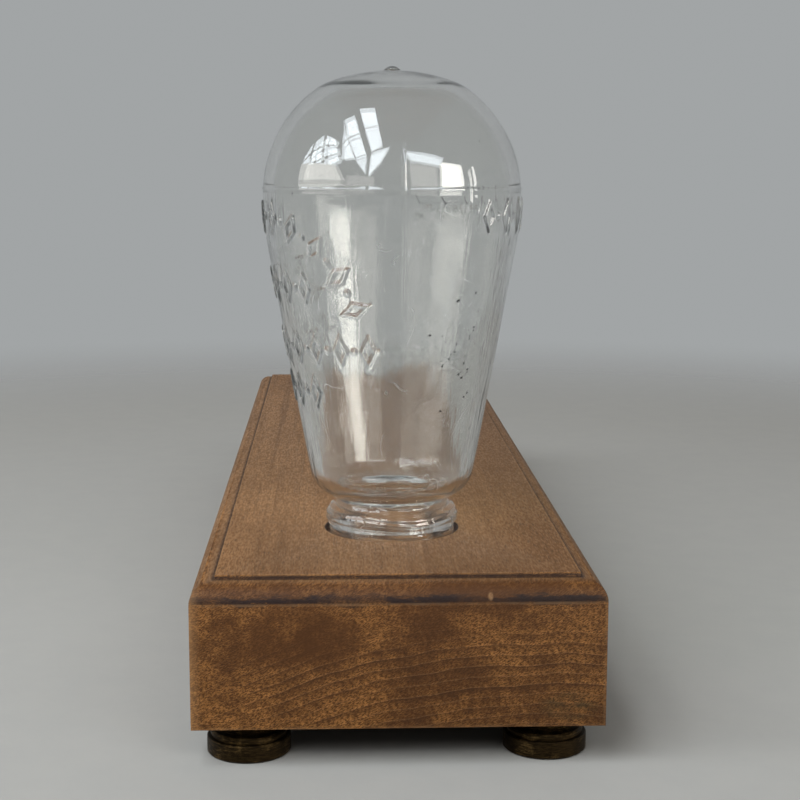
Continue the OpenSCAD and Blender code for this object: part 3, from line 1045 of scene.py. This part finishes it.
def add_window(name, uprights, rows, bar, distance, radiance, tint, use):
    """A window-like soft light round the bottle, in panes between thin bars.

    An upright is a line from a low to a high direction, each an azimuth and elevation in degrees.
    Its use is "both", "seen" only in gloss and glass, or "lights" only, as a soft lamp.
    """
    centre = Vector((AXIS_X, AXIS_Y, MOUTH_LEVEL + WINDOW_CENTRE))
    points, panes = [], []
    for left, right in zip(uprights, uprights[1:]):
        low_left, high_left, low_right, high_right = (direction(*place) for place in (*left, *right))
        for row in range(rows):
            for across, up in ((bar, bar), (1 - bar, bar), (1 - bar, 1 - bar), (bar, 1 - bar)):
                low = low_left.lerp(low_right, across)
                high = high_left.lerp(high_right, across)
                points.append(centre + distance * low.lerp(high, (row + up) / rows).normalized())
            panes.append(tuple(range(len(points) - 4, len(points))))
    mesh = bpy.data.meshes.new(name)
    mesh.from_pydata(points, [], panes)
    window = bpy.data.objects.new(name, mesh)
    bpy.context.scene.collection.objects.link(window)
    m = Nodes(name)
    glow = m.add("ShaderNodeEmission", {"Color": tint, "Strength": radiance}).outputs[0]
    mesh.materials.append(m.end(glow))
    window.visible_camera = False
    window.visible_shadow = False
    window.visible_diffuse = use != "seen"
    window.visible_glossy = window.visible_transmission = use != "lights"


def add_windows(distance):
    """Tall windows on the left, lower ones on the right, dull walls below them, and soft lamps.

    Each row gives a name, rows of panes, bar width as a share of a pane, radiance, tint, use and uprights.
    """
    cool, warm = (0.87, 0.94, 1.0), (1.0, 0.98, 0.93)
    windows = (
        ("left_window", 3, 0.1, 10.0, cool, "both", (
            ((-93, 10), (-92, 24)), ((-80, 13), (-90, 35)), ((-66, 18), (-84, 43)), ((-51, 28), (-67, 43)))),
        ("second_window", 2, 0.05, 10.0, cool, "both", (
            ((-51, 28), (-65, 50)), ((-38, 31), (-81, 57)), ((-27, 35), (-75, 64.5)))),
        ("second_foot", 1, 0.0, 8.0, cool, "both", (((-38, 30), (-38, 31)), ((-26, 19), (-27, 34.5)))),
        ("middle_window", 2, 0.03, 10.0, cool, "both", (((-23, 37), (-85, 69)), ((-12, 44), (-60, 77)))),
        ("middle_foot", 1, 0.0, 10.0, cool, "both", (((-23, 17), (-23, 36.5)), ((-13, 29), (-4.5, 43)))),
        ("right_window", 1, 0.0, 8.6, cool, "both", (((16, 30), (13, 39)), ((44, 24), (49, 30)))),
        ("left_glow", 1, 0.0, 4.8, warm, "seen", (((-92, 9), (-93, 19)), ((-47, 13), (-56, 24)))),
        ("left_wall", 1, 0.0, 2.6, warm, "seen", (((-91, 3), (-92, 9)), ((-44, 3), (-47, 13)))),
        ("low_wall", 1, 0.0, 1.8, warm, "seen", (((-43, 3), (-43, 17)), ((-18, 3), (-18, 17)))),
        ("right_pane", 1, 0.0, 16.0, warm, "seen", (((41, 4), (45, 27)), ((64, 4), (64, 22)))),
        ("right_wall", 1, 0.0, 2.4, warm, "seen", (((15, 6), (14, 28)), ((39, 4), (40, 24)))),
        ("side_window", 1, 0.0, 12.0, warm, "seen", (((73.5, -1), (74.5, 19)), ((76.8, -1), (77.3, 19)))),
        ("soft_lamp", 1, 0.0, 1.8, warm, "lights", (((-35, 18), (-35, 42)), ((35, 18), (35, 42)))),
        ("right_lamp", 1, 0.0, 0.7, warm, "lights", (((80, 18), (80, 42)), ((120, 18), (120, 42)))),
        ("back_lamp", 1, 0.0, 1.3, warm, "lights", (((150, 14), (150, 40)), ((210, 14), (210, 40)))),
    )
    for name, rows, bar, radiance, tint, use, uprights in windows:
        add_window(name, uprights, rows, bar, distance, radiance, tint, use)


def floor_material(stage):
    """Plain floor that fades out into the backdrop far from the object."""
    m = Nodes("pale_floor")
    x, y, _ = m.split(m.place)
    away = m.math("SQRT", m.squares(x, y))
    speck = m.noise(60, 4, 0.6)
    tone = m.mix(m.range(speck, 0.3, 0.7, 0, 0.12), stage.floor, stage.floor_speck)
    m.set(base_color=tone, roughness=0.85, normal=m.bump(speck, 0.2 * MM))
    clear = m.add("ShaderNodeBsdfTransparent").outputs[0]
    fade = m.range(away, stage.fade_start, stage.fade_end)
    return m.end(m.mix_shaders(fade, m.shader.outputs[0], clear))


def set_world(stage):
    """Soft fill light from above, and the plain backdrop seen directly, in gloss and through glass."""
    world = bpy.data.worlds.new("studio")
    bpy.context.scene.world = world
    world.use_nodes = True
    w = Tree(world.node_tree)
    path = w.add("ShaderNodeLightPath").outputs
    seen = w.math("MAXIMUM", path["Is Camera Ray"], path["Is Transmission Ray"])
    seen = w.math("MAXIMUM", seen, path["Is Glossy Ray"])
    up = w.split(w.add("ShaderNodeTexCoord").outputs["Generated"])[2]
    overhead = w.times(w.math("MAXIMUM", up, 0.03), stage.fill)
    fill = w.add("ShaderNodeBackground", {"Color": stage.fill_colour, "Strength": overhead})
    backdrop = w.add("ShaderNodeBackground", {"Color": stage.backdrop})
    mixed = w.mix_shaders(seen, fill.outputs[0], backdrop.outputs[0])
    w.add("ShaderNodeOutputWorld", {"Surface": mixed})


def add_camera(stage):
    data = bpy.data.cameras.new("camera")
    data.sensor_width = 36
    data.lens = stage.focal_length
    data.clip_start = 10 * MM
    camera = bpy.data.objects.new("camera", data)
    camera.matrix_world = (
        Matrix.Translation(stage.camera_place)
        @ Matrix.Rotation(-stage.camera_yaw, 4, "Z")
        @ Matrix.Rotation(math.pi / 2 - stage.camera_pitch, 4, "X")
        @ Matrix.Rotation(stage.camera_roll, 4, "Z"))
    bpy.context.scene.collection.objects.link(camera)
    bpy.context.scene.camera = camera


# Operators


class BOTTLE_OT_glass(bpy.types.Operator):
    """Turns the hollow glass bottle from its section and raises its seams and ornament"""

    bl_idname = "bottle_stand.glass"
    bl_label = "Glass bottle"

    def execute(self, context):
        piece = make_bottle(context.scene.bottle_sizes)
        material = clear_glass(context.scene.glass_finish)
        finish_piece(piece, "bottle_body", material, "bottle")
        return {"FINISHED"}


class BOTTLE_OT_base(bpy.types.Operator):
    """Makes the moulded wooden base with its socket"""

    bl_idname = "bottle_stand.base"
    bl_label = "Wooden base"

    def execute(self, context):
        finish = context.scene.wood_finish
        finish_piece(make_base(finish), "stand", oiled_wood(finish), "base")
        return {"FINISHED"}


class BOTTLE_OT_feet(bpy.types.Operator):
    """Gives the turned feet and their screws their metal"""

    bl_idname = "bottle_stand.feet"
    bl_label = "Feet and screws"

    def execute(self, context):
        finish = context.scene.brass_finish
        finish_nodes("foot_", aged_brass("aged_brass", finish.metal, finish.patina, 0.1))
        finish_nodes("screw_", aged_brass("screw_brass", finish.screw_metal, finish.patina, 0.25))
        return {"FINISHED"}


class BOTTLE_OT_stage(bpy.types.Operator):
    """Sets the plain floor, the soft lights, the backdrop and the camera"""

    bl_idname = "bottle_stand.stage"
    bl_label = "Stage"

    def execute(self, context):
        stage = context.scene.stage_settings
        context.scene.view_settings.view_transform = "Standard"
        context.scene.cycles.max_bounces = LIGHT_BOUNCES
        context.scene.cycles.transmission_bounces = LIGHT_BOUNCES
        clear_selection()
        bpy.ops.mesh.primitive_plane_add(size=FLOOR_SIDE, location=(0, 0, 0))
        floor = context.active_object
        floor.name = "floor"
        floor.data.materials.append(floor_material(stage))
        set_world(stage)
        add_windows(stage.window_distance)
        add_camera(stage)
        return {"FINISHED"}


class BOTTLE_PT_panel(bpy.types.Panel):
    """Lists the pieces' operators"""

    bl_idname = "BOTTLE_PT_panel"
    bl_label = "Bottle on a Base"
    bl_space_type = "VIEW_3D"
    bl_region_type = "UI"
    bl_category = "Bottle"

    def draw(self, context):
        for operator in OPERATORS:
            self.layout.operator(operator.bl_idname)


OPERATORS = (BOTTLE_OT_glass, BOTTLE_OT_base, BOTTLE_OT_feet, BOTTLE_OT_stage)
GROUPS = {
    "bottle_sizes": BottleSizes,
    "glass_finish": GlassFinish,
    "wood_finish": WoodFinish,
    "brass_finish": BrassFinish,
    "stage_settings": StageSettings,
}


def register():
    for group in GROUPS.values():
        bpy.utils.register_class(group)
    for name, group in GROUPS.items():
        setattr(bpy.types.Scene, name, bpy.props.PointerProperty(type=group))
    for operator in OPERATORS:
        bpy.utils.register_class(operator)
    bpy.utils.register_class(BOTTLE_PT_panel)


def unregister():
    bpy.utils.unregister_class(BOTTLE_PT_panel)
    for operator in reversed(OPERATORS):
        bpy.utils.unregister_class(operator)
    for name, group in GROUPS.items():
        delattr(bpy.types.Scene, name)
        bpy.utils.unregister_class(group)


def main():
    register()
    bpy.ops.bottle_stand.glass()
    bpy.ops.bottle_stand.base()
    bpy.ops.bottle_stand.feet()
    bpy.ops.bottle_stand.stage()


if __name__ == "__main__":
    main()
